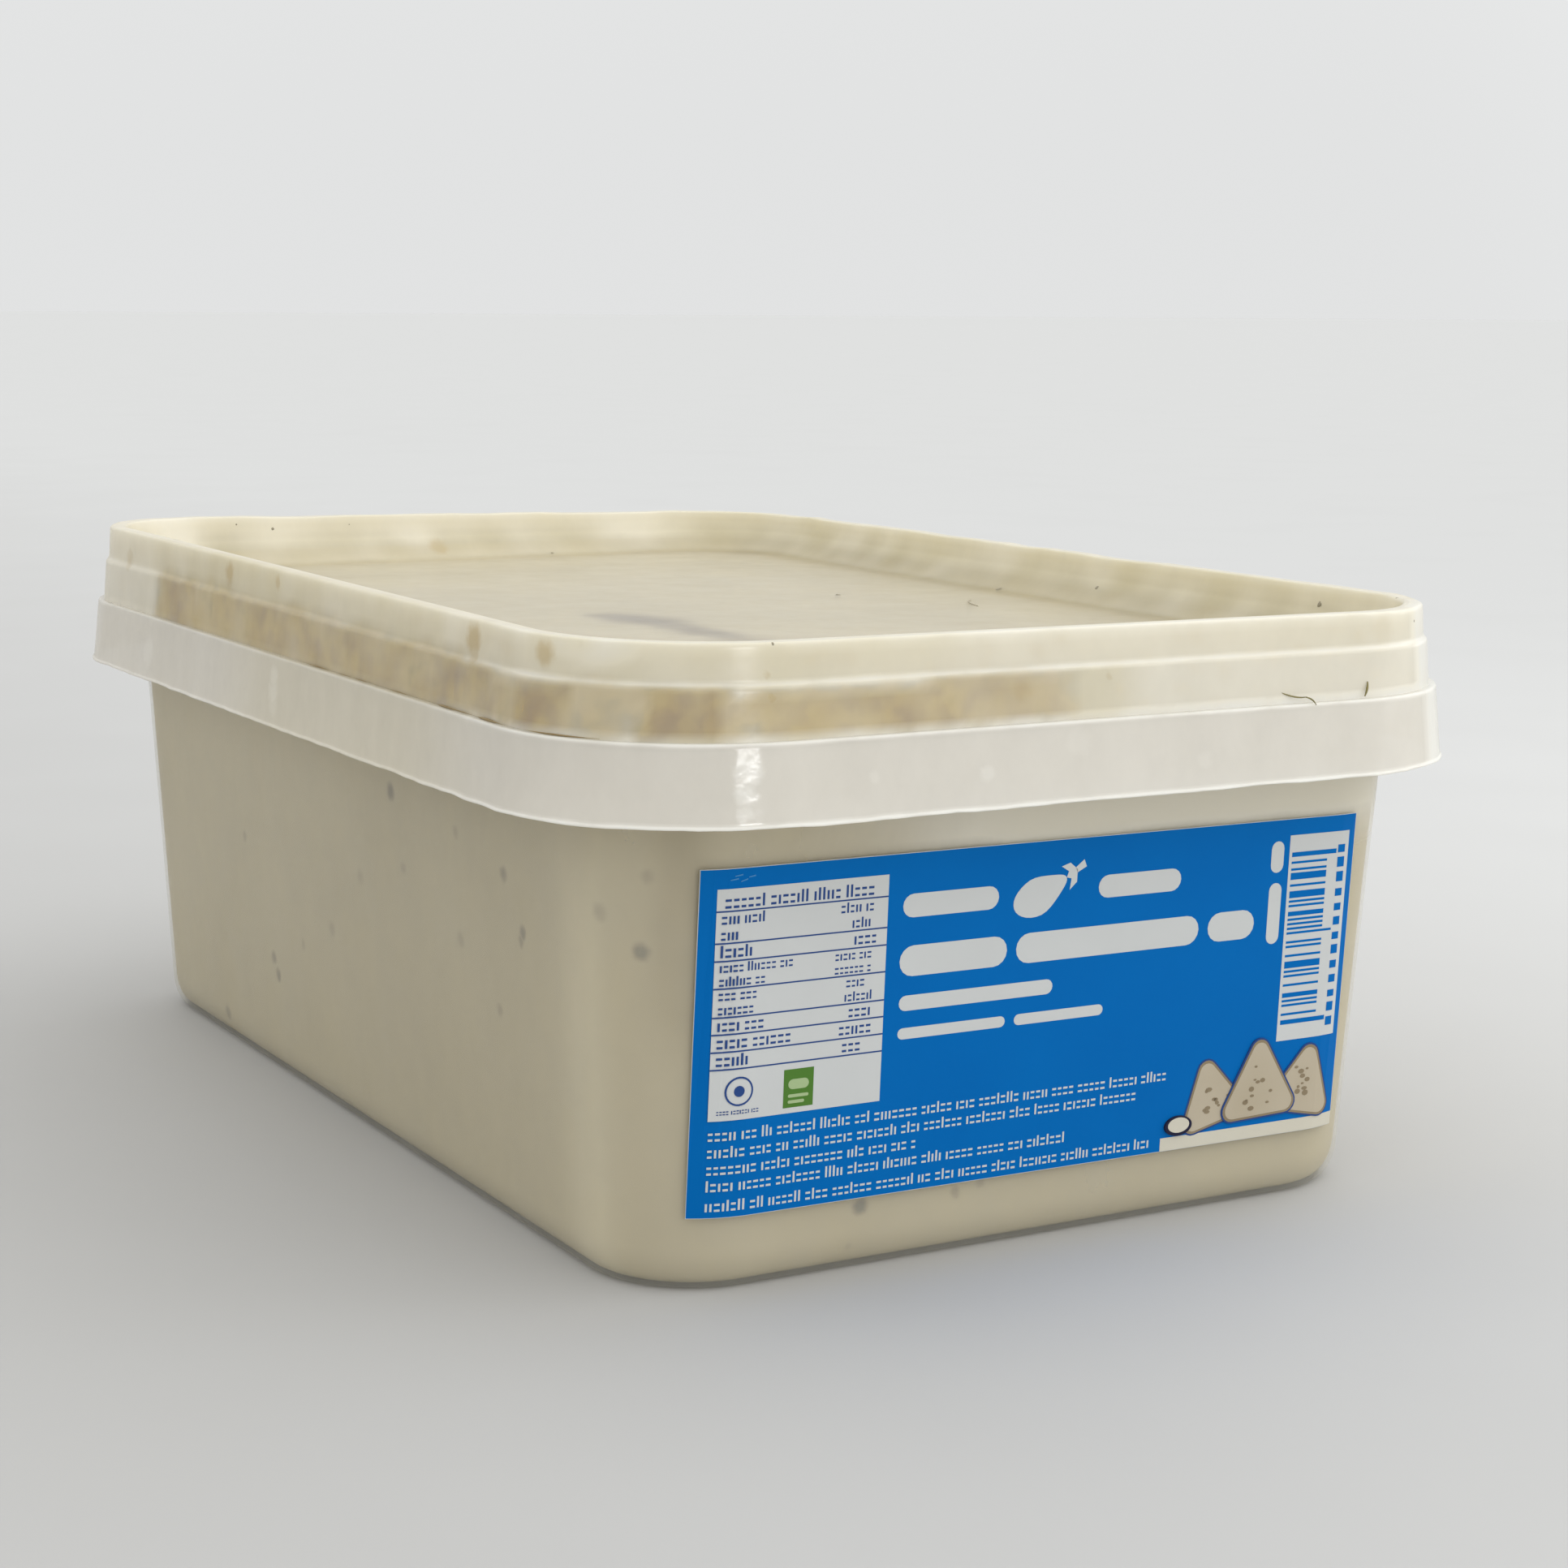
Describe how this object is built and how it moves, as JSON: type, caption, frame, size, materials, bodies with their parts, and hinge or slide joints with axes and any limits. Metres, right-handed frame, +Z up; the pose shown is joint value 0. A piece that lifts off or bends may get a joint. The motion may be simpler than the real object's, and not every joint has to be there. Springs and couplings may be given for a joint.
{
  "type": "filled tub of aubergine dip",
  "caption": "Shut rectangular translucent plastic tub full of aubergine dip, with a recessed press-fit lid, a hanging rim skirt and a blue label on one end.",
  "frame": {"origin": "centre of the underside, where the tub stands", "axes": "+Z up through the lid, +Y along the length with the label on the -Y end, +X across the width"},
  "size_m": [0.1214, 0.1836, 0.0708],
  "materials": {
    "tub_plastic": "translucent natural polypropylene, satin moulded",
    "lid_plastic": "translucent natural polypropylene, satin moulded",
    "aubergine_dip": "smooth moist paste with fine dark specks",
    "label_film": "satin printed self-adhesive film"
  },
  "bodies": {
    "root": {"tub": "tub_plastic", "lid": "lid_plastic", "dip": "aubergine_dip", "label": "label_film"}
  },
  "joints": []
}
